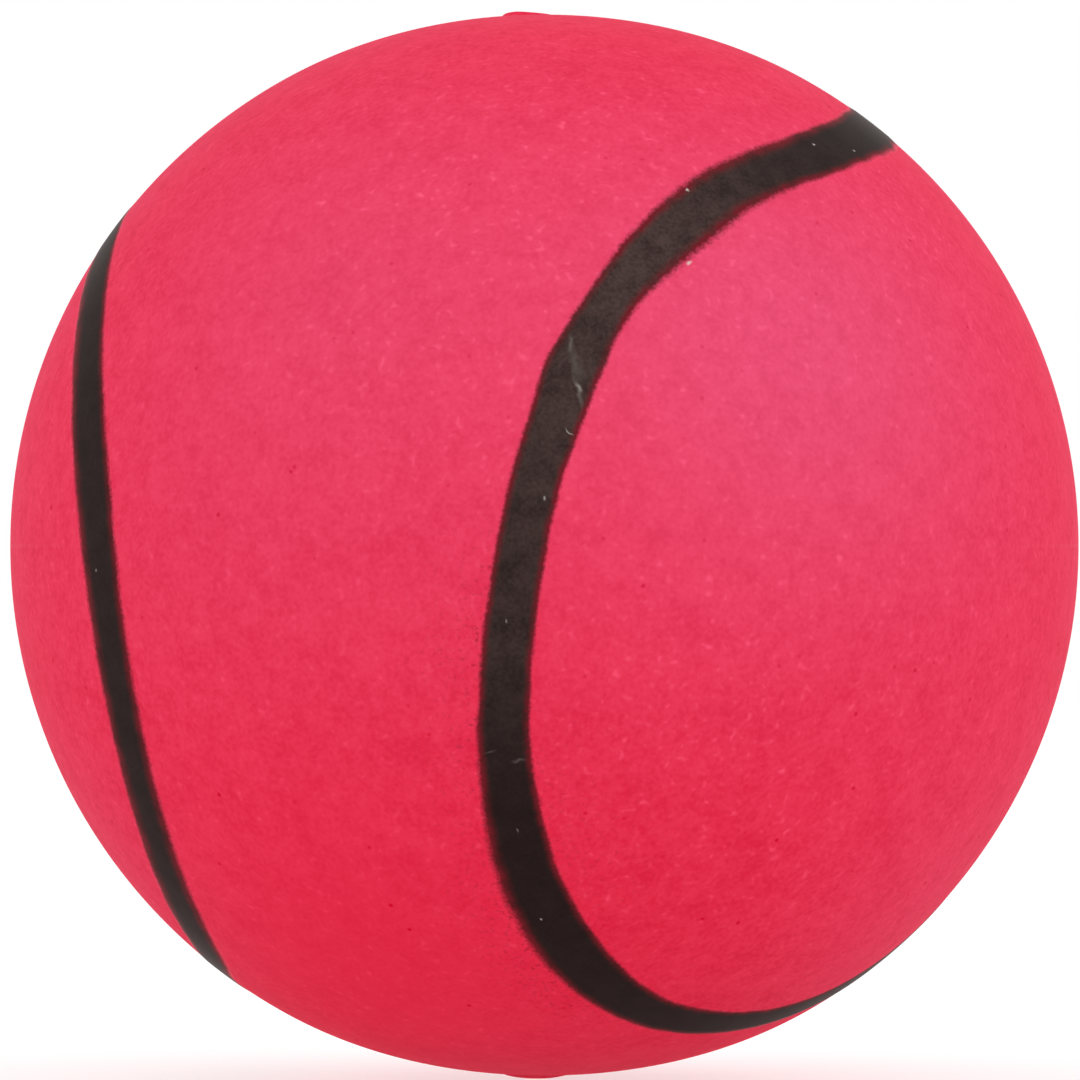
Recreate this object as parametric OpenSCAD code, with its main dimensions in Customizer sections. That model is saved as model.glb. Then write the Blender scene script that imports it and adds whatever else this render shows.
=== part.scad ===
// Hollow rubber ball for a dog, with a painted stripe on the tennis-ball curve.
// Two moulded half shells meet rim to rim at the ball's equator and are cemented there.
// The origin is the ball's centre, +Z runs through the upper gate and -Y is the front.

/* [Ball] */
// Outside diameter of the ball
ball_d = 63; // [50:0.5:80]
// Rubber wall, from the outside to the hollow
wall = 5; // [3:0.25:8]

/* [Crowns] */
// How far each crown is drawn in at its pole as the rubber shrinks
crown_relief = 0.25; // [0.1:0.05:0.6]
// Angle from the pole at which a drawn-in crown meets the ball
crown_angle = 30; // [24:1:40]

/* [Gates] */
// Diameter of a gate stub where it leaves its crown
gate_base_d = 3.2; // [2.4:0.1:5]
// Diameter of the stub's cut end
gate_end_d = 2; // [1:0.1:2.3]
// Height of the cut stub over its crown
gate_h = 0.25; // [0.1:0.05:0.8]
// How far both gates sit to the left of the poles
gate_offset = 1; // [0:0.1:4]

/* [Seam] */
// Thickness of the cement film between the two rims
film = 0.2; // [0.1:0.05:0.6]
// Radius of the bead of cement squeezed out inside
bead_r = 0.7; // [0.4:0.1:1.5]

/* [Stripe size] */
// Width of the stripe
stripe_w = 3; // [2:0.1:5]
// Depth of the shallow channel that the paint fills
stripe_depth = 0.15; // [0.1:0.05:0.4]
// Width of the front panel at its waist, between the stripe's centre lines
waist_w = 25; // [20:0.5:28]
// Half angle of the right lobe above the waist, seen from the ball's centre
right_upper_lobe = 56; // [52:0.5:60]
// Half angle of the right lobe below the waist, where the stripe curls in more
right_lower_lobe = 48; // [44:0.5:52]
// Half angle of the left lobe
left_lobe = 46.5; // [42:0.5:50]
// Half angle of the lobe that rounds the top of the front panel
top_lobe = 45.5; // [40:0.5:50]
// Half angle of the lobe that rounds the bottom of the front panel
bottom_lobe = 44.5; // [40:0.5:48]

/* [Stripe place] */
// Turn of the waist about the ball's axis, from the front towards the right
stripe_turn = -30; // [-180:0.5:180]
// Tilt of the waist down from the ball's equator
stripe_tilt = 34; // [-90:0.5:90]
// Roll of the stripe about the line through the waist
stripe_roll = 4; // [-90:0.5:90]

/* [Hidden] */
$fn = 180;

rubber_pink = [0.91, 0.24, 0.37];
cement_pink = [0.93, 0.45, 0.53];
stripe_black = [0.19, 0.17, 0.17];

// Spare length of each cutter past the faces that it cuts
slack = 0.5;
// How far an arc of the stripe runs into its larger neighbours
lap = 0.3;
// How much smaller it is than they are on every side, so that its ends lie inside them
lap_step = 0.02;

ball_r = ball_d / 2;
hollow_r = ball_r - wall;
reach = ball_r + gate_h + slack;

// A crown is part of a larger sphere, whose centre is shifted away from the crown.
// It passes crown_relief under the pole and meets the ball at crown_angle.
crown_shift = (ball_r * crown_relief - crown_relief ^ 2 / 2)
    / (ball_r * (1 - cos(crown_angle)) - crown_relief);
crown_r = ball_r - crown_relief + crown_shift;
crown_top = ball_r - crown_relief;

// The stripe is a closed chain of arcs of circles on the ball, each touching the next one.
// Where two touch from outside, the angle between their axes is the sum of their half angles.
// The two right arcs touch at the waist, one inside the other.
// Here the waist faces -Y, the right lobe lies towards +X and the left lobe towards -X.
waist_half = spanned(waist_w / 2);
stripe_half = spanned(stripe_w / 2);
waist_right = level_direction(waist_half);
right_upper_axis = level_direction(waist_half + right_upper_lobe);
right_lower_axis = level_direction(waist_half + right_lower_lobe);
left_axis = level_direction(-waist_half - left_lobe);
top_axis = touching_axis(right_upper_axis, right_upper_lobe, top_lobe, 1);
bottom_axis = touching_axis(right_lower_axis, right_lower_lobe, bottom_lobe, -1);

// Each arc: its axis, its half angle, the directions where it starts and ends,
// and how many lap steps smaller it is made
arcs = [
    [right_upper_axis, right_upper_lobe, top_axis, waist_right, 0],
    [right_lower_axis, right_lower_lobe, waist_right, bottom_axis, 1],
    [bottom_axis, bottom_lobe, left_axis, right_lower_axis, 2],
    [left_axis, left_lobe, bottom_axis, top_axis, 0],
    [top_axis, top_lobe, right_upper_axis, left_axis, 1],
];

// Direction square to the Z axis, turned from the front towards the right
function level_direction(turn) = [sin(turn), -cos(turn), 0];

// Axis of a circle of the given half angle that touches both the left and a right lobe.
// side is 1 for the one above them and -1 for the one below.
function touching_axis(right_axis, right_lobe, half_angle, side) =
    let (
        near_left = cos(left_lobe + half_angle),
        near_right = cos(right_lobe + half_angle),
        across = left_axis * right_axis,
        spread = 1 - across ^ 2,
        between = (near_left - near_right * across) / spread * left_axis
            + (near_right - near_left * across) / spread * right_axis
    )
    between + [0, 0, side * sqrt(1 - between * between)];

// Angles that lay the Z axis along a direction
function polar(axis) = acos(axis.z);
function azimuth(axis) = atan2(axis.y, axis.x);

// Angle round an axis at which another direction lies
function bearing(axis, direction) =
    let (
        tilt = polar(axis),
        turn = azimuth(axis),
        south = [cos(tilt) * cos(turn), cos(tilt) * sin(turn), -sin(tilt)],
        east = [-sin(turn), cos(turn), 0]
    )
    atan2(direction * east, direction * south);

// Angle at the ball's centre that spans a length on its surface
function spanned(length) = length / ball_r * 180 / PI;

// The ball's outer form with both crowns, as far in from the surface as inset
module ball(inset) {
    intersection_for (form = [[0, ball_r], [-crown_shift, crown_r], [crown_shift, crown_r]])
        translate([0, 0, form[0]])
            sphere(r = form[1] - inset);
}

// Cross-section of the stripe's cutter: a wedge with its point at the ball's centre
module stripe_section(half_angle, inset) {
    near = ball_r - crown_relief - stripe_depth - slack + inset;
    far = reach - inset;
    spread = stripe_half - spanned(inset);
    from = half_angle - spread;
    to = half_angle + spread;
    polygon([
        near * [sin(from), cos(from)],
        far * [sin(from), cos(from)],
        far * [sin(to), cos(to)],
        near * [sin(to), cos(to)],
    ]);
}

// One arc of the stripe, carried round its axis from one neighbour to the next
module stripe_arc(axis, half_angle, from, to, steps) {
    extra = steps > 0 ? spanned(lap) / sin(half_angle) : 0;
    start = bearing(axis, from);
    sweep = (bearing(axis, to) - start + 720) % 360;
    rotate([0, polar(axis), azimuth(axis)])
        rotate([0, 0, start - extra])
            rotate_extrude(angle = sweep + 2 * extra)
                stripe_section(half_angle, steps * lap_step);
}

// The closed loop of arcs, from under the channel to over the surface
module stripe_loop() {
    rotate([0, 0, stripe_turn])
        rotate([stripe_tilt, 0, 0])
            rotate([0, stripe_roll, 0])
                for (arc = arcs)
                    stripe_arc(arc[0], arc[1], arc[2], arc[3], arc[4]);
}

// The channel that the paint fills
module stripe_channel() {
    difference() {
        stripe_loop();
        ball(stripe_depth);
    }
}

// Gate stub of the upper half: its root in the wall, and the taper up to its cut end
module gate_stub() {
    translate([-gate_offset, 0, crown_top]) {
        translate([0, 0, -wall / 2])
            cylinder(d = gate_base_d, h = wall / 2);
        cylinder(d1 = gate_base_d, d2 = gate_end_d, h = gate_h);
    }
}

// Plain half of the ball, above the cement film
module plain_half() {
    difference() {
        union() {
            intersection() {
                ball(0);
                translate([0, 0, film / 2])
                    cylinder(r = reach, h = reach);
            }
            gate_stub();
        }
        sphere(r = hollow_r);
    }
}

module upper_half_shell() {
    color(rubber_pink)
        difference() {
            plain_half();
            stripe_channel();
        }
}

module lower_half_shell() {
    color(rubber_pink)
        difference() {
            mirror([0, 0, 1])
                plain_half();
            stripe_channel();
        }
}

// The film reaches from the surface to the middle of the bead, which lies on the hollow's wall
module seam_cement() {
    color(cement_pink)
        difference() {
            rotate_extrude() {
                intersection() {
                    circle(r = ball_r);
                    translate([hollow_r - bead_r / 2, -film / 2])
                        square([wall + bead_r, film]);
                }
                intersection() {
                    circle(r = hollow_r);
                    translate([hollow_r, 0])
                        circle(r = bead_r);
                }
            }
            stripe_channel();
        }
}

module painted_stripe() {
    color(stripe_black)
        intersection() {
            stripe_channel();
            ball(0);
        }
}

upper_half_shell();
lower_half_shell();
seam_cement();
painted_stripe();
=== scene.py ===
import math

import bpy
import numpy as np
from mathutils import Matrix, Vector


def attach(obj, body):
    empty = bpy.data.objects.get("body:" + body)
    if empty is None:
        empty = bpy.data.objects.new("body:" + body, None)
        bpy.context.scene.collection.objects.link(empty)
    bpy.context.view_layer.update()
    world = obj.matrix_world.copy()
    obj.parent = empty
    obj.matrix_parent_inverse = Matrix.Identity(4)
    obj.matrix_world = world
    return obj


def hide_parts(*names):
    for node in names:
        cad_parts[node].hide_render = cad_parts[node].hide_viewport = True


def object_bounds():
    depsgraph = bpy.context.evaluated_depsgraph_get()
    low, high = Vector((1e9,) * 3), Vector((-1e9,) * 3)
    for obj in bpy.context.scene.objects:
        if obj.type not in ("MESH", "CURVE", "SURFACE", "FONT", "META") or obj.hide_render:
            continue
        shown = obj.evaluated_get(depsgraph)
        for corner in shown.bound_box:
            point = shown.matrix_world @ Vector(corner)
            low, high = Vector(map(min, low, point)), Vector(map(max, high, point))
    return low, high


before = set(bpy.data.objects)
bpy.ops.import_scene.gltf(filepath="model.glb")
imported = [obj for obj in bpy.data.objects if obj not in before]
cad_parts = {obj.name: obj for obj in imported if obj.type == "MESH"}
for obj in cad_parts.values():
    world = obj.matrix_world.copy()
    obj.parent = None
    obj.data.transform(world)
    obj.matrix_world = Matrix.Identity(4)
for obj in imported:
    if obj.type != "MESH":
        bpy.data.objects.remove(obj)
cadLow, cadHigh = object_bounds()
mm = 0.001
print("frame loaded, CAD box", [round(side / mm, 2) for side in cadHigh - cadLow], "mm")

# Sizes of the whole ball in mm, as in the CAD; the skin lies a little under the CAD's, so that the paint
# can stand proud inside the same box
ball = dict(
    radius=round((cadHigh.z - cadLow.z) / 2 / mm, 2),
    paintRise=0.04,
    wall=5.0,
    film=0.2,         # cement between the rims
    beadRadius=0.7,   # and the bead of it round the hollow
    beadPoints=13,
    crownAngle=30.0,  # degrees from a pole at which its drawn-in crown begins
    columns=420,      # points round the ball in both halves and the cement
    sharpAngle=30.0,  # degrees; steeper edges stay sharp, so that the rims don't bend the skin's shading
)
skinR = ball["radius"] - ball["paintRise"]
hollowR = ball["radius"] - ball["wall"]
noiseMiddle = 0.5  # the level about which a noise texture varies


def toLinear(hexColour):
    # sRGB hex to linear RGBA
    srgb = np.array([int(hexColour[i:i + 2], 16) for i in (1, 3, 5)]) / 255
    linear = np.where(srgb <= 0.04045, srgb / 12.92, ((srgb + 0.055) / 1.055) ** 2.4)
    return (*linear.tolist(), 1.0)


def perMm(size):
    # texture scale whose features are this many mm across, on Object coordinates in metres
    return 1 / (size * mm)


def addNode(tree, kind, inputs=None, **settings):
    # one node: settings are its properties, inputs are values or the output sockets to link
    node = tree.nodes.new(kind)
    for name, value in settings.items():
        setattr(node, name, value)
    for socket, value in (inputs or {}).items():
        if isinstance(value, bpy.types.NodeSocket):
            tree.links.new(value, node.inputs[socket])
        else:
            node.inputs[socket].default_value = value
    return node


def newMaterial(name):
    material = bpy.data.materials.new(name)
    material.use_nodes = True
    material.node_tree.nodes.clear()
    return material, material.node_tree


def smoothStep(value):
    # 0 below 0, 1 above 1, and a cubic ease between them
    value = np.clip(value, 0, 1)
    return value * value * (3 - 2 * value)


def gridFaces(rows, columns, start=0, closeRows=False):
    # quads between neighbouring rows of a grid whose columns run round and join up
    count = rows if closeRows else rows - 1
    row, column = np.meshgrid(np.arange(count), np.arange(columns), indexing="ij")
    near, far = row * columns, (row + 1) % rows * columns
    side = (column + 1) % columns
    return start + np.stack([near + column, far + column, far + side, near + side], -1).reshape(-1, 4)


def makePiece(name, points, faces, material, nodeName):
    # points in mm become a smooth mesh in metres that stands for one CAD node
    mesh = bpy.data.meshes.new(name)
    mesh.from_pydata((points * mm).tolist(), [], faces, shade_flat=False)
    mesh.set_sharp_from_angle(angle=math.radians(ball["sharpAngle"]))
    mesh.materials.append(material)
    piece = bpy.data.objects.new(name, mesh)
    bpy.context.scene.collection.objects.link(piece)
    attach(piece, "root")
    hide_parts(nodeName)
    print("made", name, len(points), "points", len(faces), "faces")
    return piece


def addAttribute(piece, name, values):
    layer = piece.data.attributes.new(name, "FLOAT", "POINT")
    layer.data.foreach_set("value", values.astype(np.float32))


# The stripe's loop, with the CAD's own sizes: half angles and turns in degrees, the waist in mm
stripeLoop = dict(
    waistWidth=25.0,
    rightUpper=56.0,
    rightLower=48.0,
    left=46.5,
    top=45.5,
    bottom=44.5,
    turn=-30.0,
    tilt=34.0,
    roll=4.0,
)


def levelDirection(angle):
    return np.array([math.sin(angle), -math.cos(angle), 0.0])


def touchingAxis(axisA, halfA, axisB, halfB, half, side):
    # axis of a circle that touches circles A and B from outside: its angle to each axis is the
    # sum of the half angles, and side picks the one above (1) or below (-1)
    nearA, nearB, across = math.cos(halfA + half), math.cos(halfB + half), axisA @ axisB
    between = ((nearA - nearB * across) * axisA + (nearB - nearA * across) * axisB) / (1 - across ** 2)
    return between + np.array([0, 0, side * math.sqrt(1 - between @ between)])


def turnMatrix(loop):
    # roll about Y, then tilt about X, then turn about Z
    angles = [math.radians(loop[key]) for key in ("roll", "tilt", "turn")]
    cosRoll, cosTilt, cosTurn = (math.cos(angle) for angle in angles)
    sinRoll, sinTilt, sinTurn = (math.sin(angle) for angle in angles)
    roll = np.array([[cosRoll, 0, sinRoll], [0, 1, 0], [-sinRoll, 0, cosRoll]])
    tilt = np.array([[1, 0, 0], [0, cosTilt, -sinTilt], [0, sinTilt, cosTilt]])
    turn = np.array([[cosTurn, -sinTurn, 0], [sinTurn, cosTurn, 0], [0, 0, 1]])
    return turn @ tilt @ roll


def stripeArcs(loop):
    # five arcs of circles on the ball, joined tangent to tangent; along an arc the direction is
    # cos(half) axis + sin(half) (cos(f) first + sin(f) second), with f from 0 to sweep
    half = {key: math.radians(loop[key]) for key in ("rightUpper", "rightLower", "left", "top", "bottom")}
    waist = loop["waistWidth"] / 2 / ball["radius"]
    axis = {key: levelDirection(waist + half[key]) for key in ("rightUpper", "rightLower")}
    axis["waist"] = levelDirection(waist)
    axis["left"] = levelDirection(-waist - half["left"])
    axis["top"] = touchingAxis(
        axis["left"], half["left"], axis["rightUpper"], half["rightUpper"], half["top"], 1)
    axis["bottom"] = touchingAxis(
        axis["left"], half["left"], axis["rightLower"], half["rightLower"], half["bottom"], -1)
    turned = turnMatrix(loop)
    axis = {key: turned @ direction for key, direction in axis.items()}
    route = [  # arc, the directions where it starts and ends, and its sense seen from outside
        ("top", "left", "rightUpper", -1),
        ("rightUpper", "top", "waist", 1),
        ("rightLower", "waist", "bottom", 1),
        ("bottom", "rightLower", "left", -1),
        ("left", "bottom", "top", 1),
    ]
    arcs, start = [], 0.0
    for name, begin, end, sense in route:
        first = axis[begin] - (axis[begin] @ axis[name]) * axis[name]
        first /= np.linalg.norm(first)
        second = sense * np.cross(axis[name], first)
        sweep = math.atan2(axis[end] @ second, axis[end] @ first) % (2 * math.pi)
        arcs.append(dict(axis=axis[name], half=half[name], first=first, second=second, sense=sense,
                         sweep=sweep, start=start, perTurn=ball["radius"] * math.sin(half[name])))
        start += arcs[-1]["perTurn"] * sweep
    return arcs, start


loopArcs, loopLength = stripeArcs(stripeLoop)
print("stripe loop", round(loopLength, 1), "mm long")


def stripeLine(station):
    # direction of the centre line and of its left side at each station, in mm along the loop
    line, left = np.zeros((2, len(station), 3))
    for arc in loopArcs:
        angle = (station - arc["start"]) / arc["perTurn"]
        on = (angle >= 0) & (angle < arc["sweep"])
        cosine, sine = np.cos(angle[on])[:, None], np.sin(angle[on])[:, None]
        outward = cosine * arc["first"] + sine * arc["second"]
        onward = cosine * arc["second"] - sine * arc["first"]
        line[on] = math.cos(arc["half"]) * arc["axis"] + math.sin(arc["half"]) * outward
        left[on] = np.cross(line[on], onward)
    return line, left


def stripeCoords(directions):
    # the other way round: station along the loop and offset to its left, in mm, of any direction,
    # taken from the arc whose circle is nearest; no offset is as large as the loop's length
    station, offset = np.zeros(len(directions)), np.full(len(directions), loopLength)
    for arc in loopArcs:
        angle = np.arctan2(directions @ arc["second"], directions @ arc["first"]) % (2 * math.pi)
        away = np.arccos(np.clip(directions @ arc["axis"], -1, 1))
        gap = arc["sense"] * (arc["half"] - away) * ball["radius"]
        better = (angle <= arc["sweep"]) & (np.abs(gap) < np.abs(offset))
        station = np.where(better, arc["start"] + angle * arc["perTurn"], station)
        offset = np.where(better, gap, offset)
    return station, offset


# The painted stripe, in mm. Its edges wander as a hand holds them: each hump is where along the
# loop, how far out (or in), and its reach
paint = dict(
    halfWidth=1.46,
    leftHumps=[
        (77, -0.1, 3), (84, 0.42, 7), (93.5, 0.22, 4), (100.5, -0.5, 4.5), (111, -0.1, 4), (118, 0.1, 7),
        (126.5, -0.12, 3), (141, 0.14, 5), (150, -0.14, 3), (282, -0.35, 4), (320, 0.16, 6), (329, 0.12, 6)],
    rightHumps=[
        (70, 0.3, 5), (78, 0.15, 4), (84, -0.3, 5), (97, 0.12, 6), (105, 0.3, 2.5), (118, -0.33, 8),
        (139, 0.3, 9), (161, -0.4, 7), (279, -0.5, 2.2), (284, 0.22, 5), (297, -0.12, 6), (314, 0.3, 6)],
    edgeWave=0.02,      # slow wobble of the edges: its size, and how many waves it has round the loop
    edgeWaves=(40, 130),
    waveSeed=7,
    edgeRag=0.008,      # fine raggedness, in the same way
    edgeRags=(250, 700),
    ragSeed=12,
    ragRuns=[(91, 2, 8), (25, 2, 20), (215, 2, 22)],  # humps where the raggedness grows by this factor
    # columns of points lie this far inside each edge; below zero they lie outside, where the paint thins out
    gaps=(-0.262, -0.26, -0.2, -0.15, -0.1, -0.05, 0.0, 0.05, 0.1, 0.16, 0.24, 0.34, 0.46, 0.6),
    middleColumns=5,
    backColumns=5,
    backEnds=(0.05, 0.95),  # shares of the width between which the columns underneath lie
    # humps where an edge thins out over a wider band, and where the stain reaches further in from it
    softLeft=[(70, 0.5, 8), (92, 1.3, 8), (230, 0.8, 20), (308, 0.8, 26)],
    softRight=[(88, 1.0, 9), (137, 1.3, 8), (20, 0.8, 16), (290, 0.5, 9), (308, 0.8, 26)],
    stainLeft=[(92, 0.8, 8), (230, 0.8, 20), (290, 1.3, 10), (308, 0.8, 14), (330, 1.3, 12)],
    stainRight=[(86, 0.8, 10), (136, 0.6, 7), (20, 0.8, 16), (290, 0.9, 9), (305, 0.4, 12)],
    lip=0.005,          # height of the thinnest paint
    shoulder=0.6,       # width over which it rises from there
    bury=0.03,          # the outermost points end this far under the skin
    thickness=0.09,
    dipDepth=0.1,       # the skin under the paint is this much lower
    dipInset=0.5,       # and starts this far in from the edge
    dipRamp=0.4,
    # humps where the paint is paler: chalky loads, and the three from 97 to 122 mm also a painted highlight
    # on the upper front stretch
    chalkyAndHighlight=[(97, 0.58, 12), (113, 0.27, 9), (122, 0.15, 5), (308, 0.06, 30), (45, 0.34, 16), (215, 0.27, 25)],
    rows=1710,
)


def humps(station, rows):
    # sum of bell curves along the closed loop
    total = np.zeros_like(station)
    for centre, height, reach in rows:
        gap = (station - centre + loopLength / 2) % loopLength - loopLength / 2
        total += height * np.exp(-(gap / reach) ** 2)
    return total


def loopNoise(station, seed, size, waves, count=24):
    # sum of sines with whole numbers of waves round the loop, at seeded phases
    rng = np.random.default_rng(seed)
    turns = rng.integers(*waves, count)
    phase = rng.uniform(0, 2 * math.pi, count)
    sines = np.sin(2 * math.pi * station[:, None] / loopLength * turns + phase)
    return size * sines.sum(1) / math.sqrt(count / 2)


def paintEdges(station):
    # offsets of the left and right edge from the centre line
    rough = 1 + humps(station, paint["ragRuns"])
    ragged = [loopNoise(station, paint["waveSeed"] + side, paint["edgeWave"], paint["edgeWaves"])
              + rough * loopNoise(station, paint["ragSeed"] + side, paint["edgeRag"], paint["edgeRags"])
              for side in (0, 1)]
    left = paint["halfWidth"] + humps(station, paint["leftHumps"]) + ragged[0]
    right = -paint["halfWidth"] - humps(station, paint["rightHumps"]) + ragged[1]
    return left, right


# The two moulded halves, in mm. A gate is the trimmed stub of rubber at the pole; past its crest the
# cut drops by slant for each mm
upperHalf = dict(
    side=1, crownRelief=0.17,
    gate=dict(place=(-1.0, 0.0), radius=1.55, power=6.0, height=0.245, slant=0.095, crest=-0.75, seed=3),
)
lowerHalf = dict(
    side=-1, crownRelief=0.27,
    gate=dict(place=(-0.55, 0.0), radius=2.05, power=2.5, height=0.21, slant=-0.015, crest=0.0, seed=4),
)
# Both gates: waves round the foot with their share of its radius, and the crease along it
gateFoot = dict(waves=((2, 0.04), (3, 0.03), (5, 0.025), (9, 0.015)), creaseDepth=0.05, creaseReach=0.16)
# Rows of points over the skin, closer together by the pole, across the rim and over the hollow
skin = dict(rows=190, poleShare=0.2, rimRows=4, innerRows=20)


def crownDrop(directions):
    # a crown is drawn in by relief (1 + cos(180 t)) / 2, where t runs from 0 at the pole to 1
    away = np.degrees(np.arccos(np.clip(np.abs(directions[:, 2]), 0, 1))) / ball["crownAngle"]
    relief = np.where(directions[:, 2] > 0, upperHalf["crownRelief"], lowerHalf["crownRelief"])
    return relief * (1 + np.cos(math.pi * np.clip(away, 0, 1))) / 2


def skinRadius(directions):
    # radius of the moulded skin before paint: the ball, less its crowns
    return skinR - crownDrop(directions)


def paintDip(directions):
    # how far the skin lies lower under the paint
    station, offset = stripeCoords(directions)
    left, right = paintEdges(station)
    inside = np.minimum(left - offset, offset - right) - paint["dipInset"]
    return paint["dipDepth"] * smoothStep(inside / paint["dipRamp"])


def gateRise(points, gate):
    # a trimmed stub: the lower of a rounded side, height (1 - (away / radius)^power), and a slanted cut,
    # less a bell-shaped crease along its foot
    rng = np.random.default_rng(gate["seed"])
    x, y = points[:, 0] - gate["place"][0], points[:, 1] - gate["place"][1]
    away, bearing = np.hypot(x, y), np.arctan2(y, x)
    ragged = sum(size * np.sin(turns * bearing + rng.uniform(0, 2 * math.pi))
                 for turns, size in gateFoot["waves"])
    foot = gate["radius"] * (1 + ragged)
    side = gate["height"] * (1 - (away / foot) ** gate["power"])
    pastCrest = np.maximum(0, np.sign(gate["slant"]) * (x - gate["crest"]))
    cut = gate["height"] - np.abs(gate["slant"]) * pastCrest
    crease = gateFoot["creaseDepth"] * np.exp(-((away - foot) / gateFoot["creaseReach"]) ** 2)
    return np.clip(np.minimum(side, cut), 0, None) - crease


def makeHalf(name, half, material, nodeName):
    # closed half shell: rows of polar angle run from the outer pole over the skin to the rim,
    # across the flat rim, and back over the hollow to the inner pole; columns run round the axis
    count = ball["columns"]
    around = np.arange(count) * 2 * math.pi / count
    t = np.arange(1, skin["rows"] + 1) / skin["rows"]
    rimAngle = math.acos(ball["film"] / 2 / skinR)
    polar = rimAngle * ((1 - skin["poleShare"]) * t ** 2 + skin["poleShare"] * t)
    polar = np.concatenate([[0], polar])
    down, turn = np.meshgrid(polar, around, indexing="ij")
    outer = np.stack([np.sin(down) * np.cos(turn), np.sin(down) * np.sin(turn),
                      half["side"] * np.cos(down)], -1).reshape(-1, 3)
    radius = skinRadius(outer) - paintDip(outer)
    radius += gateRise(outer * skinR, half["gate"])
    outer = outer * radius[:, None]
    rimShare = np.linspace(0, 1, skin["rimRows"] + 2)[1:-1]
    rimRadius = (1 - rimShare) * skinR + rimShare * hollowR
    innerAngle = math.acos(ball["film"] / 2 / hollowR) * np.linspace(1, 0, skin["innerRows"] + 1)
    across = np.concatenate([rimRadius, hollowR * np.sin(innerAngle)])
    height = np.concatenate([np.full(len(rimRadius), ball["film"] / 2), hollowR * np.cos(innerAngle)])
    inner = np.stack([across[:, None] * np.cos(around), across[:, None] * np.sin(around),
                      half["side"] * height[:, None] * np.ones_like(around)], -1).reshape(-1, 3)
    # the first and last rows are single points at the poles
    points = np.concatenate([outer[:1], outer[count:], inner[:1 - count]])
    rows = len(polar) - 1 + len(across) - 1
    faces = gridFaces(rows, count, start=1)
    ring = np.arange(count)
    last = 1 + (rows - 1) * count
    fans = [np.stack([np.zeros(count, int), 1 + ring, 1 + (ring + 1) % count], -1),
            np.stack([last + ring, np.full(count, len(points) - 1), last + (ring + 1) % count], -1)]
    flip = 1 if half["side"] > 0 else -1
    faces = faces[:, ::flip].tolist() + np.concatenate(fans)[:, ::flip].tolist()
    piece = makePiece(name, points, faces, material, nodeName)
    skinMarks(piece, points)
    return piece


def makeCement(name, material, nodeName):
    # the film's edge, its two faces and the bead on the hollow's wall, as one profile turned round Z
    around = np.arange(ball["columns"]) * 2 * math.pi / ball["columns"]
    edge = np.array([-1, 0, 1]) * ball["film"] / 2
    beadAngle = np.linspace(0.5, 1.5, ball["beadPoints"]) * math.pi
    across = np.concatenate([np.full(len(edge), skinR), [hollowR],
                             hollowR + ball["beadRadius"] * np.cos(beadAngle), [hollowR]])
    height = np.concatenate([edge, edge[-1:], ball["beadRadius"] * np.sin(beadAngle), edge[:1]])
    directions = np.stack([np.cos(around), np.sin(around), np.zeros_like(around)], -1)
    onEdge = np.arange(len(across))[:, None] < len(edge)
    reach = across[:, None] - np.where(onEdge, paintDip(directions), 0)
    points = np.stack([reach * np.cos(around), reach * np.sin(around),
                       height[:, None] * np.ones_like(around)], -1).reshape(-1, 3)
    faces = gridFaces(len(across), ball["columns"], closeRows=True)
    piece = makePiece(name, points, faces[:, ::-1].tolist(), material, nodeName)
    skinMarks(piece, points)
    return piece


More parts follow.
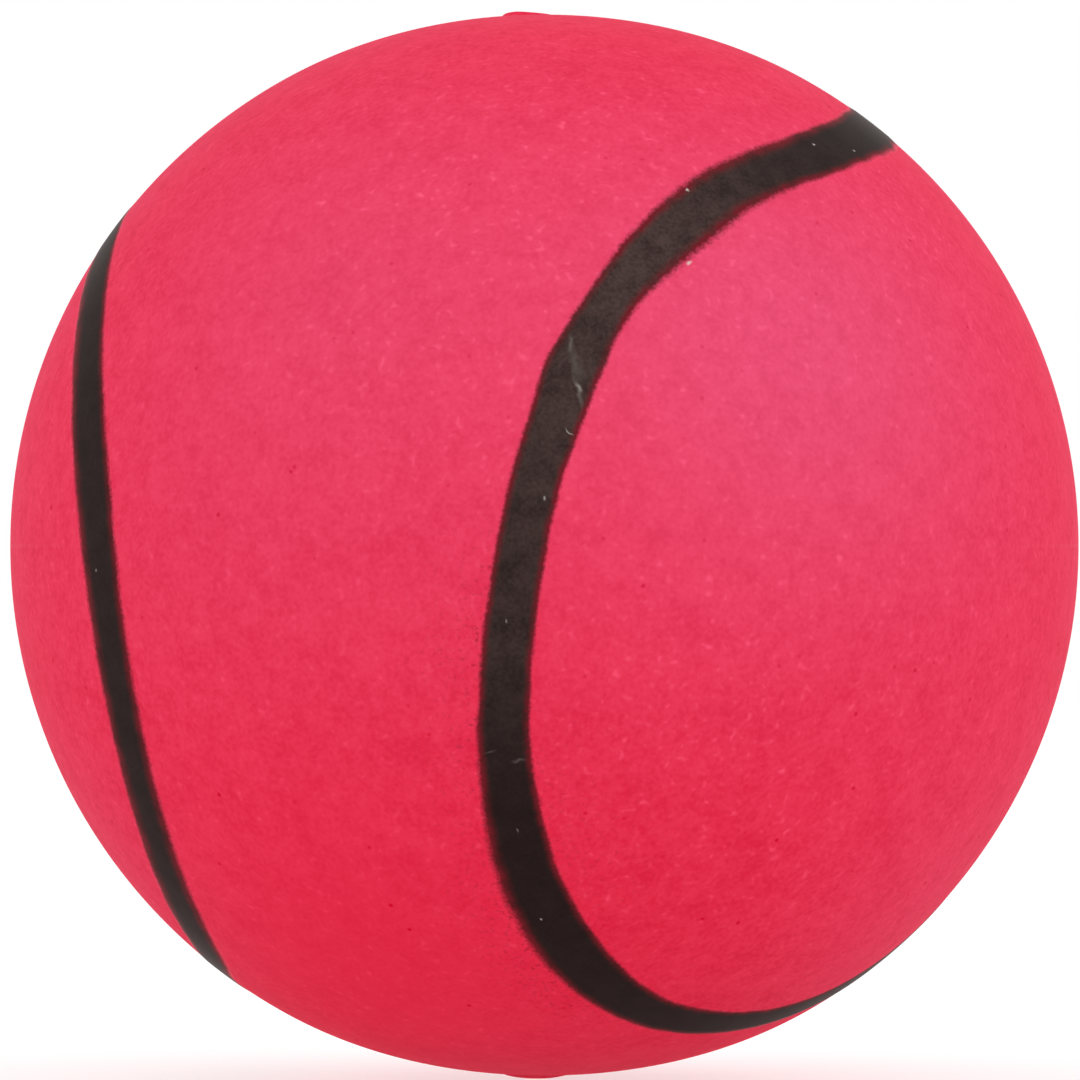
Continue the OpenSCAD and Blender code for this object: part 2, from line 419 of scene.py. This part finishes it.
def makeStripe(name, material, nodeName):
    # a closed thin band carried along the loop: it follows the skin, rises over a soft shoulder to the
    # paint's full height, ends under the skin at both edges, and runs back underneath
    station = np.arange(paint["rows"]) * loopLength / paint["rows"]
    line, left = stripeLine(station)
    leftEdge, rightEdge = (edge[:, None] for edge in paintEdges(station))
    softLeft, softRight, stainLeft, stainRight = (
        1 + humps(station, paint[key])[:, None]
        for key in ("softLeft", "softRight", "stainLeft", "stainRight"))
    gap = np.array(paint["gaps"])
    rightSide = rightEdge + np.where(gap < 0, gap * softRight, gap)
    leftSide = (leftEdge - np.where(gap < 0, gap * softLeft, gap))[:, ::-1]
    middleShare = np.linspace(0, 1, paint["middleColumns"] + 2)[1:-1]
    middle = rightSide[:, -1:] * (1 - middleShare) + leftSide[:, :1] * middleShare
    backShare = np.linspace(*paint["backEnds"], paint["backColumns"])
    back = leftSide[:, -1:] * (1 - backShare) + rightSide[:, :1] * backShare
    offset = np.concatenate([rightSide, middle, leftSide, back], 1)
    columns = offset.shape[1]
    inside = np.minimum(leftEdge - middle, middle - rightEdge)
    everyRow = np.ones((len(station), 1))
    edgeGap = np.concatenate([gap * everyRow, inside, gap[::-1] * everyRow, backShare * everyRow], 1)
    ramp = smoothStep((edgeGap - gap[0]) / paint["shoulder"])
    rise = paint["lip"] + (ball["paintRise"] - paint["lip"]) * ramp
    firstBack = columns - paint["backColumns"]
    rise[:, [0, firstBack - 1]] = -paint["bury"]
    rise[:, firstBack:] = ball["paintRise"] - paint["thickness"]
    angle = (offset / ball["radius"])[:, :, None]
    directions = (np.cos(angle) * line[:, None] + np.sin(angle) * left[:, None]).reshape(-1, 3)
    points = directions * (skinRadius(directions) + rise.ravel())[:, None]
    faces = gridFaces(len(station), columns, closeRows=True)
    piece = makePiece(name, points, faces.tolist(), material, nodeName)
    # the UV map holds the place along the loop and across the stripe, in mm
    corner = np.empty(len(piece.data.loops), np.int32)
    piece.data.loops.foreach_get("vertex_index", corner)
    row = corner // columns
    lastRow = np.repeat(np.arange(len(faces)) // columns == len(station) - 1, faces.shape[1])
    along = np.where(lastRow & (row == 0), loopLength, station[row])
    layer = piece.data.uv_layers.new(name="stripePlace")
    layer.data.foreach_set("uv", np.stack([along, offset.ravel()[corner]], -1).ravel().astype(np.float32))
    onLeft = offset > (leftEdge + rightEdge) / 2
    addAttribute(piece, "edgeGap", edgeGap.ravel())
    addAttribute(piece, "stainReach", np.where(onLeft, stainLeft, stainRight).ravel())
    # paler paint along the loop: chalky loads, and a painted highlight on the upper front stretch
    addAttribute(piece, "chalkAndHighlight", np.repeat(humps(station, paint["chalkyAndHighlight"]), columns))
    skinMarks(piece, points)
    return piece


# Marks of the skin; a spot is a direction, its reach in degrees and its strength
marks = dict(
    bloomAndLightThin=0.27,           # painted light: a pale layer that makes the upper side paler
    bloomAndLightRange=(-0.75, 0.1),  # height, in radii, over which it sets in
    bloomAndLightMost=1.2,
    freshShare=0.6,           # the cut face of a gate has less of the pale layer, by this share
    freshEase=4.0,            # and this steeply at its edge
    # spots of the pale layer: the first two are painted highlights under the two softboxes, the next three,
    # on the back, are chalky bloom, the next two are painted reflected light on the lower rims, then painted
    # light on the underside and a faint paler patch on the left front; the last, below zero, is painted shade
    # on the top rim
    bloomAndLightSpots=[
        ((0.46, -0.80, 0.36), 27, 0.75),
        ((-0.33, -0.80, 0.48), 24, 0.38),
        ((0.60, 0.70, 0.40), 34, 0.6),
        ((-0.70, 0.50, 0.50), 30, 0.5),
        ((0.10, 0.70, -0.70), 28, 0.3),
        ((0.70, -0.30, -0.65), 22, 0.37),
        ((-0.78, -0.25, -0.57), 17, 0.29),
        ((-0.05, -0.25, -0.97), 14, 0.15),
        ((-0.55, -0.83, -0.03), 22, 0.07),
        ((0.20, -0.25, 0.95), 20, -0.1),
    ],
    fleckThin=0.32,           # pale flecks of filler all over, and where they gather
    fleckSpots=[
        ((0.0, -0.75, 0.66), 24, 0.6),
        ((0.45, -0.88, 0.0), 30, 0.15),
        ((0.25, -0.89, -0.38), 20, 0.5),
        ((0.63, -0.48, 0.61), 13, 0.5),
        ((-0.19, -0.94, 0.27), 12, 0.4),
        ((0.2, 0.9, 0.4), 30, 0.5),
        ((-0.9, 0.2, -0.3), 30, 0.3),
    ],
    mottleSpots=[             # where the grain is calmer, as the mould was smoother
        ((-0.28, -0.55, -0.79), 24, -0.65),
        ((0.5, 0.4, -0.77), 24, -0.5),
    ],
    # humps where fine drops of paint landed beside the stripe, and how far out from each edge they go
    sprayLeft=[(134, 0.45, 10), (160, 0.3, 8), (40, 0.4, 12), (230, 0.5, 14)],
    sprayLeftReach=5.0,
    sprayRight=[(122, 0.9, 9), (142, 1.0, 9), (96, 0.2, 10), (15, 0.5, 12), (200, 0.6, 14)],
    sprayRightReach=2.2,
)


def skinMarks(piece, points):
    # attributes of the skin: bloomAndLight, the pale layer of chalky bloom and painted light, is an ease over
    # the height plus bell curves of the angle to each spot, flecks and mottle are bell curves too, and
    # overspray falls off with the distance outside the paint
    directions = points / np.linalg.norm(points, axis=1)[:, None]
    low, high = marks["bloomAndLightRange"]
    bloomAndLight = marks["bloomAndLightThin"] * smoothStep((directions[:, 2] - low) / (high - low))
    flecks = np.full(len(points), marks["fleckThin"])
    mottle = np.ones(len(points))
    for total, spots in ((bloomAndLight, "bloomAndLightSpots"), (flecks, "fleckSpots"), (mottle, "mottleSpots")):
        for spot, reach, strength in marks[spots]:
            toward = np.array(spot) / np.linalg.norm(spot)
            away = np.degrees(np.arccos(np.clip(directions @ toward, -1, 1)))
            total += strength * np.exp(-(away / reach) ** 2)
    fresh = np.where(points[:, 2] > 0, *(gateRise(points, half["gate"]) / half["gate"]["height"]
                                         for half in (upperHalf, lowerHalf)))
    bloomAndLight *= 1 - marks["freshShare"] * smoothStep(marks["freshEase"] * fresh)
    station, offset = stripeCoords(directions)
    left, right = paintEdges(station)
    onLeft = offset > 0
    spray = np.where(onLeft, humps(station, marks["sprayLeft"]), humps(station, marks["sprayRight"]))
    outside = np.maximum(0, np.where(onLeft, offset - left, right - offset))
    outside /= np.where(onLeft, marks["sprayLeftReach"], marks["sprayRightReach"])
    addAttribute(piece, "bloomAndLight", np.clip(bloomAndLight, 0, marks["bloomAndLightMost"]))
    addAttribute(piece, "flecks", flecks)
    addAttribute(piece, "mottle", mottle)
    addAttribute(piece, "overspray", spray * np.exp(-outside))


# Natural rubber, compression moulded and left matt: one pink right through, a pale layer that is partly
# chalky bloom in patches and partly painted light (painted highlights, painted reflected light on the lower
# rims and a paler upper side), a grain from the mould, pale filler flecks, small pits and drops of paint
rubber = dict(
    # bloomAndLightPink is the pale pink of the chalky bloom and of the painted light
    pink="#ed2d4b", deep="#e9294a", bloomAndLightPink="#e94c72", drop="#7d1529",
    # light that grain and flecks add to the pink, and that grain and pits take off it, by these shares
    lift="#613545", shade="#6c3042",
    liftShare=0.25, shadeShare=0.33, fleckShare=1.2, pitShare=1.2, dropShare=0.7,
    roughness=0.65, specular=0.03,
    # sizes of the grain in mm and the share of each; it is fully pale or dim this far from its middle
    grainSizes=(0.3, 0.9, 2.6), grainShares=(1.25, 1.0, 0.6), grainReach=0.4,
    grainDetail=1.0, grainDepth=0.012,
    # size and fineness of the noise that draws flecks and drops, and the levels where they set in
    fleckNoise=(0.42, 0.0), fleckLevels=(0.62, 0.94), dropNoise=(0.26, 2.0), dropLevels=(0.56, 0.74),
    # flecks cluster by the grain's middle size: between these levels of it, by these factors
    clusterLevels=(0.42, 0.66), clusterFactors=(0.3, 1.6),
    # pits: one in a cell at most, full and gone at these shares of the radius, and the faintest of them
    pitCell=1.1, pitRadius=0.14, pitChance=0.19, pitEdge=(0.4, 1.3), pitFaintest=0.25,
)
# The cement is the same rubber in solvent, and its edge is buffed flush with the skin
cement = dict(rubber, roughness=0.56)


def layOver(tree, under, over, share, mask, blend="MIX"):
    # lays one colour over another, adds it or takes it off, by a mask times a share; in a Mix node of
    # colours 0 is the factor, 6 and 7 are the two colours, and output 2 is the result
    part = addNode(tree, "ShaderNodeMath", {0: mask, 1: share}, operation="MULTIPLY")
    return addNode(tree, "ShaderNodeMix", {0: part.outputs[0], 6: under, 7: toLinear(over)},
                   data_type="RGBA", blend_type=blend, clamp_result=True).outputs[2]


def mouldPits(tree, place, look, chance):
    # round pits near a cell's middle, in the cells whose own random number is under chance; a second
    # one sets how strong each is
    full, gone = (share * look["pitRadius"] / look["pitCell"] for share in look["pitEdge"])
    cells = addNode(tree, "ShaderNodeTexVoronoi", {"Vector": place, "Scale": perMm(look["pitCell"])})
    inside = addNode(tree, "ShaderNodeMapRange", {
        "Value": cells.outputs["Distance"], "From Min": full, "From Max": gone, "To Min": 1.0, "To Max": 0.0})
    draw = addNode(tree, "ShaderNodeSeparateColor", {"Color": cells.outputs["Color"]})
    chosen = addNode(tree, "ShaderNodeMath", {0: draw.outputs["Red"], 1: chance}, operation="LESS_THAN")
    strong = addNode(tree, "ShaderNodeMapRange", {
        "Value": draw.outputs["Green"], "To Min": look["pitFaintest"]})
    pit = addNode(tree, "ShaderNodeMath", {0: inside.outputs[0], 1: chosen.outputs[0]}, operation="MULTIPLY")
    return addNode(tree, "ShaderNodeMath", {0: pit.outputs[0], 1: strong.outputs[0]},
                   operation="MULTIPLY").outputs[0]


def rubberColour(tree, place, look):
    # the skin's colour, and the height of its grain
    bloomAndLight, flecks, mottle, spray = (
        addNode(tree, "ShaderNodeAttribute", attribute_name=name).outputs["Fac"]
        for name in ("bloomAndLight", "flecks", "mottle", "overspray"))
    noises = [addNode(tree, "ShaderNodeTexNoise", {
        "Vector": place, "Scale": perMm(size), "Detail": look["grainDetail"]}).outputs["Fac"]
        for size in look["grainSizes"]]
    colour = addNode(tree, "ShaderNodeMix", {
        0: noises[-1], 6: toLinear(look["deep"]), 7: toLinear(look["pink"])}, data_type="RGBA").outputs[2]
    # the pale layer: chalky bloom in patches, and painted highlights, painted reflected light and a paler
    # upper side
    colour = layOver(tree, colour, look["bloomAndLightPink"], 1.0, bloomAndLight)
    grain, middle = 0.0, sum(look["grainShares"]) * noiseMiddle
    for noise, share in zip(noises, look["grainShares"]):
        grain = addNode(tree, "ShaderNodeMath", {0: noise, 1: share, 2: grain},
                        operation="MULTIPLY_ADD").outputs[0]
    pale, dim = (addNode(tree, "ShaderNodeMapRange", {
        "Value": grain, "From Min": middle, "From Max": middle + way * look["grainReach"],
        "To Max": mottle}).outputs[0] for way in (1, -1))
    clustered = addNode(tree, "ShaderNodeMapRange", {
        "Value": noises[1], "From Min": look["clusterLevels"][0], "From Max": look["clusterLevels"][1],
        "To Min": look["clusterFactors"][0], "To Max": look["clusterFactors"][1]}).outputs[0]
    flecks = addNode(tree, "ShaderNodeMath", {0: flecks, 1: clustered}, operation="MULTIPLY").outputs[0]
    masks = {}
    for kind, amount in (("fleck", flecks), ("drop", spray)):
        size, fineness = look[kind + "Noise"]
        low, high = look[kind + "Levels"]
        noise = addNode(tree, "ShaderNodeTexNoise", {
            "Vector": place, "Scale": perMm(size), "Detail": fineness}).outputs["Fac"]
        masks[kind] = addNode(tree, "ShaderNodeMapRange", {
            "Value": noise, "From Min": low, "From Max": high, "To Max": amount}).outputs[0]
    chance = addNode(tree, "ShaderNodeMath", {0: mottle, 1: look["pitChance"]}, operation="MULTIPLY")
    pits = mouldPits(tree, place, look, chance.outputs[0])
    for over, share, mask, blend in (
            ("lift", "liftShare", pale, "ADD"), ("shade", "shadeShare", dim, "SUBTRACT"),
            ("lift", "fleckShare", masks["fleck"], "ADD"), ("shade", "pitShare", pits, "SUBTRACT"),
            ("drop", "dropShare", masks["drop"], "MIX")):
        colour = layOver(tree, colour, look[over], look[share], mask, blend)
    return colour, addNode(tree, "ShaderNodeMath", {0: grain, 1: pits}, operation="SUBTRACT").outputs[0]


def moulded(name, look):
    material, tree = newMaterial(name)
    place = addNode(tree, "ShaderNodeTexCoord").outputs["Object"]
    colour, height = rubberColour(tree, place, look)
    bump = addNode(tree, "ShaderNodeBump", {"Distance": look["grainDepth"] * mm, "Height": height})
    shader = addNode(tree, "ShaderNodeBsdfPrincipled", {
        "Base Color": colour, "Roughness": look["roughness"],
        "Specular IOR Level": look["specular"], "Normal": bump.outputs["Normal"]})
    addNode(tree, "ShaderNodeOutputMaterial", {"Surface": shader.outputs["BSDF"]})
    return material


# Flexible black paint, brushed on in loads that dried chalky where they began and smooth where they
# ran out, with a painted highlight in the same pale grey on the upper front stretch; it thins to maroon
# and then to bare rubber along the edges, and carries scuffs and white dust
film = dict(
    # chalkyAndHighlight is the pale grey of chalky paint, also laid on as a painted highlight
    black="#1c1110", chalkyAndHighlight="#4d3c39", maroon="#6c1922", scuff="#8a807a", dust="#d8d2c8",
    roughness=0.65, specular=0.05,
    sheen=0.14, sheenRoughness=0.22, sheenTint="#fff0ea",  # fine dust that shows where the paint turns away
    # sizes in mm of the pimples, of the clouds in them and of the grain of the thinning edge
    grainSize=0.22, cloudSize=1.3, edgeNoise=0.19, noiseDetail=2.0,
    grainDepth=0.01,
    chalkThin=0.1,                      # chalk all over
    pimpleLevels=(0.7, 1.3), pimpleShare=0.5,      # pimples and clouds make it uneven by this share
    patchLevels=(0.35, 0.65), patchy=(0.55, 1.2),  # the clouds make the maroon uneven between these shares
    edgeRough=0.11,                     # how far its grain shifts the thinning edge
    stain=(0.06, 0.46), stainPower=2.0,  # where inside the edge the maroon fades out, and how fast
    thin=(0.05, -0.24),                 # where at the edge bare rubber sets in
    smearNoise=0.5, smearShift=0.5,     # grain of the marks' outlines, and how far it shifts them
    # a mark: place along the loop and across it, half length and half width in mm, turn in degrees, share
    scuffs=[
        (104.6, -0.4, 2.0, 0.34, 34, 0.12), (106.2, 0.65, 1.2, 0.17, 38, 0.36),
        (103.7, -1.03, 0.7, 0.17, 30, 0.36), (104.8, -0.05, 1.1, 0.45, 45, 0.15),
        (127.45, -0.9, 0.5, 0.09, 112, 0.2), (128.1, 0.72, 0.55, 0.13, 97, 0.28)],
    specks=[
        (105.9, 0.42, 0.35, 0.16, 45, 0.28), (108.5, 1.0, 0.36, 0.07, 61, 0.6),
        (112.6, 0.86, 0.15, 0.11, 0, 0.5), (76.6, 0.68, 0.14, 0.12, 0, 0.8),
        (79.8, -0.41, 0.16, 0.14, 0, 0.9), (91.0, -1.2, 0.16, 0.13, 0, 0.9),
        (95.2, 1.95, 0.2, 0.16, 0, 0.9), (119.8, 0.0, 0.12, 0.09, 0, 0.3),
        (132.5, 0.0, 0.13, 0.1, 0, 0.25), (139.0, -0.55, 0.13, 0.1, 0, 0.7),
        (310.0, 0.3, 0.12, 0.1, 0, 0.4)],
)


def layMarks(tree, colour, place, over, ovals):
    # soft oval marks, each at its own place and turn, strongest in the middle
    for station, across, length, width, turn, share in ovals:
        at = addNode(tree, "ShaderNodeMapping", {
            "Vector": place, "Location": (station, across, 0), "Rotation": (0, 0, math.radians(turn)),
            "Scale": (length, width, 1)}, vector_type="TEXTURE")
        smear = addNode(tree, "ShaderNodeTexGradient", {"Vector": at.outputs[0]}, gradient_type="SPHERICAL")
        colour = layOver(tree, colour, over, share, smear.outputs["Fac"])
    return colour


def paintFilm(name):
    material, tree = newMaterial(name)
    place = addNode(tree, "ShaderNodeTexCoord").outputs["Object"]
    stripePlace = addNode(tree, "ShaderNodeUVMap", uv_map="stripePlace").outputs["UV"]
    gap, reach, chalkAndHighlight = (addNode(tree, "ShaderNodeAttribute", attribute_name=attribute).outputs["Fac"]
                         for attribute in ("edgeGap", "stainReach", "chalkAndHighlight"))
    grain, cloud, ragged = (addNode(tree, "ShaderNodeTexNoise", {
        "Vector": place, "Scale": perMm(film[size]), "Detail": film["noiseDetail"]}).outputs["Fac"]
        for size in ("grainSize", "cloudSize", "edgeNoise"))
    uneven = addNode(tree, "ShaderNodeMath", {0: grain, 1: cloud}, operation="ADD")
    pimples = addNode(tree, "ShaderNodeMapRange", {
        "Value": uneven.outputs[0], "From Min": film["pimpleLevels"][0], "From Max": film["pimpleLevels"][1],
        "To Min": 1 - film["pimpleShare"], "To Max": 1 + film["pimpleShare"]}).outputs[0]
    # the paler share: chalk all over, and along the humps chalk and a painted highlight
    chalkAndHighlight = addNode(tree, "ShaderNodeMath", {0: chalkAndHighlight, 1: film["chalkThin"]}, operation="ADD").outputs[0]
    colour = layOver(tree, toLinear(film["black"]), film["chalkyAndHighlight"], chalkAndHighlight, pimples)
    # the marks' place along and across the stripe, smudged by a noise
    smudge = addNode(tree, "ShaderNodeTexNoise", {"Vector": place, "Scale": perMm(film["smearNoise"])})
    drift = addNode(tree, "ShaderNodeVectorMath", {
        0: smudge.outputs["Color"], 1: (noiseMiddle,) * 3}, operation="SUBTRACT")
    smudged = addNode(tree, "ShaderNodeVectorMath", {
        0: drift.outputs[0], 1: (film["smearShift"],) * 3, 2: stripePlace},
        operation="MULTIPLY_ADD").outputs[0]
    colour = layMarks(tree, colour, smudged, film["scuff"], film["scuffs"])
    # maroon fades in towards the edge, and over it the paint thins to bare rubber
    shift = addNode(tree, "ShaderNodeMapRange", {
        "Value": ragged, "To Min": -film["edgeRough"], "To Max": film["edgeRough"]})
    gap = addNode(tree, "ShaderNodeMath", {0: gap, 1: shift.outputs[0]}, operation="ADD").outputs[0]
    inward = addNode(tree, "ShaderNodeMath", {0: gap, 1: reach}, operation="DIVIDE")
    near = addNode(tree, "ShaderNodeMapRange", {
        "Value": inward.outputs[0], "From Min": film["stain"][1], "From Max": film["stain"][0]})
    stain = addNode(tree, "ShaderNodeMath", {0: near.outputs[0], 1: film["stainPower"]}, operation="POWER")
    patchy = addNode(tree, "ShaderNodeMapRange", {
        "Value": cloud, "From Min": film["patchLevels"][0], "From Max": film["patchLevels"][1],
        "To Min": film["patchy"][0], "To Max": film["patchy"][1]})
    colour = layOver(tree, colour, film["maroon"], patchy.outputs[0], stain.outputs[0])
    bare = addNode(tree, "ShaderNodeMapRange", {
        "Value": gap, "From Min": film["thin"][0], "From Max": film["thin"][1]},
        interpolation_type="SMOOTHSTEP")
    skinColour = rubberColour(tree, place, rubber)[0]
    colour = addNode(tree, "ShaderNodeMix", {0: bare.outputs[0], 6: colour, 7: skinColour},
                     data_type="RGBA").outputs[2]
    colour = layMarks(tree, colour, smudged, film["dust"], film["specks"])
    height = addNode(tree, "ShaderNodeMath", {0: chalkAndHighlight, 1: pimples}, operation="MULTIPLY").outputs[0]
    bump = addNode(tree, "ShaderNodeBump", {"Distance": film["grainDepth"] * mm, "Height": height})
    shader = addNode(tree, "ShaderNodeBsdfPrincipled", {
        "Base Color": colour, "Roughness": film["roughness"],
        "Specular IOR Level": film["specular"], "Sheen Weight": film["sheen"],
        "Sheen Roughness": film["sheenRoughness"], "Sheen Tint": toLinear(film["sheenTint"]),
        "Normal": bump.outputs["Normal"]})
    addNode(tree, "ShaderNodeOutputMaterial", {"Surface": shader.outputs["BSDF"]})
    return material


rubberMaterial = moulded("mouldedMattRubber", rubber)
cementMaterial = moulded("buffedRubberCement", cement)
paintMaterial = paintFilm("brushedFlexibleBlackPaint")
print("made the materials of rubber, cement and paint")
makeHalf("upperHalfShell", upperHalf, rubberMaterial, "upper_half_shell")
makeHalf("lowerHalfShell", lowerHalf, rubberMaterial, "lower_half_shell")
makeCement("seamCement", cementMaterial, "seam_cement")
makeStripe("paintedStripe", paintMaterial, "painted_stripe")

# Studio: a white floor and world, two large soft lights; sizes in metres
studio = dict(
    floorSide=3.0, floorColour="#f4f4f4",
    floorLift=0.2,     # light that the eye sees on the floor besides, which brings it up to white
    floorThrough=0.5,  # half the floor's light comes up through the sheet, as on a product table
    worldLight=0.9,
    lights=[
        dict(name="keySoftbox", aim=(0.79, -0.35, 0.51), away=0.9, side=0.45, power=1.0),
        dict(name="fillSoftbox", aim=(-0.65, -0.70, 0.30), away=0.9, side=0.45, power=0.7),
    ],
)


def seenByEye(tree):
    # 1 for camera, glossy and transmission rays, so that reflections show the same white
    path = addNode(tree, "ShaderNodeLightPath")
    eye = path.outputs["Is Camera Ray"]
    for name in ("Is Glossy Ray", "Is Transmission Ray"):
        both = addNode(tree, "ShaderNodeMath", {0: eye, 1: path.outputs[name]}, operation="MAXIMUM")
        eye = both.outputs[0]
    return eye


def makeStudio():
    side, low = studio["floorSide"] / 2, cadLow.z
    mesh = bpy.data.meshes.new("studioFloor")
    mesh.from_pydata([(-side, -side, low), (side, -side, low), (side, side, low), (-side, side, low)],
                     [], [(0, 1, 2, 3)])
    floor = bpy.data.objects.new("studioFloor", mesh)
    bpy.context.scene.collection.objects.link(floor)
    material, tree = newMaterial("whiteAcrylicSheet")
    white = {"Color": toLinear(studio["floorColour"])}
    plain = addNode(tree, "ShaderNodeMixShader", {
        0: studio["floorThrough"], 1: addNode(tree, "ShaderNodeBsdfDiffuse", white).outputs[0],
        2: addNode(tree, "ShaderNodeBsdfTranslucent", white).outputs[0]})
    lift = addNode(tree, "ShaderNodeMath", {0: seenByEye(tree), 1: studio["floorLift"]}, operation="MULTIPLY")
    glow = addNode(tree, "ShaderNodeEmission", {"Strength": lift.outputs[0]})
    both = addNode(tree, "ShaderNodeAddShader", {0: plain.outputs[0], 1: glow.outputs[0]})
    addNode(tree, "ShaderNodeOutputMaterial", {"Surface": both.outputs[0]})
    mesh.materials.append(material)

    world = bpy.data.worlds.new("whiteRoom")
    world.use_nodes = True
    tree = world.node_tree
    tree.nodes.clear()
    strength = addNode(tree, "ShaderNodeMapRange", {
        "Value": seenByEye(tree), "To Min": studio["worldLight"], "To Max": 1.0})
    room = addNode(tree, "ShaderNodeBackground", {"Color": (1, 1, 1, 1), "Strength": strength.outputs[0]})
    addNode(tree, "ShaderNodeOutputWorld", {"Surface": room.outputs[0]})
    bpy.context.scene.world = world

    for light in studio["lights"]:
        lamp = bpy.data.lights.new(light["name"], "AREA")
        lamp.shape = "SQUARE"
        lamp.size = light["side"]
        lamp.energy = light["power"]
        box = bpy.data.objects.new(light["name"], lamp)
        aim = Vector(light["aim"]).normalized()
        box.location = aim * light["away"]
        box.rotation_mode = "QUATERNION"
        box.rotation_quaternion = aim.to_track_quat("Z", "Y")
        box.visible_camera = False
        bpy.context.scene.collection.objects.link(box)


# Camera: level with the ball's middle, its distance in mm; places in the photo's pixels
view = dict(
    away=630.0, imageSide=1080, ballMiddle=(544.4, 545.9), ballRadius=534.2, sensor=36.0,
    clip=(0.01, 20.0),  # nearest and farthest that it sees, in shares of its distance
)


def makeCamera():
    away = view["away"] * mm
    outline = 1 / math.sqrt((view["away"] / skinR) ** 2 - 1)  # tangent of the ball's half angle
    data = bpy.data.cameras.new("photoCamera")
    data.sensor_width = view["sensor"]
    data.lens = view["ballRadius"] / view["imageSide"] * view["sensor"] / outline
    data.shift_x = (view["imageSide"] / 2 - view["ballMiddle"][0]) / view["imageSide"]
    data.shift_y = (view["ballMiddle"][1] - view["imageSide"] / 2) / view["imageSide"]
    data.clip_start, data.clip_end = (share * away for share in view["clip"])
    camera = bpy.data.objects.new("photoCamera", data)
    camera.location = (0, -away, 0)
    camera.rotation_euler = (math.pi / 2, 0, 0)
    bpy.context.scene.collection.objects.link(camera)
    bpy.context.scene.camera = camera


makeStudio()
makeCamera()
print("studio and camera set")
bpy.context.scene.view_settings.view_transform = "Standard"
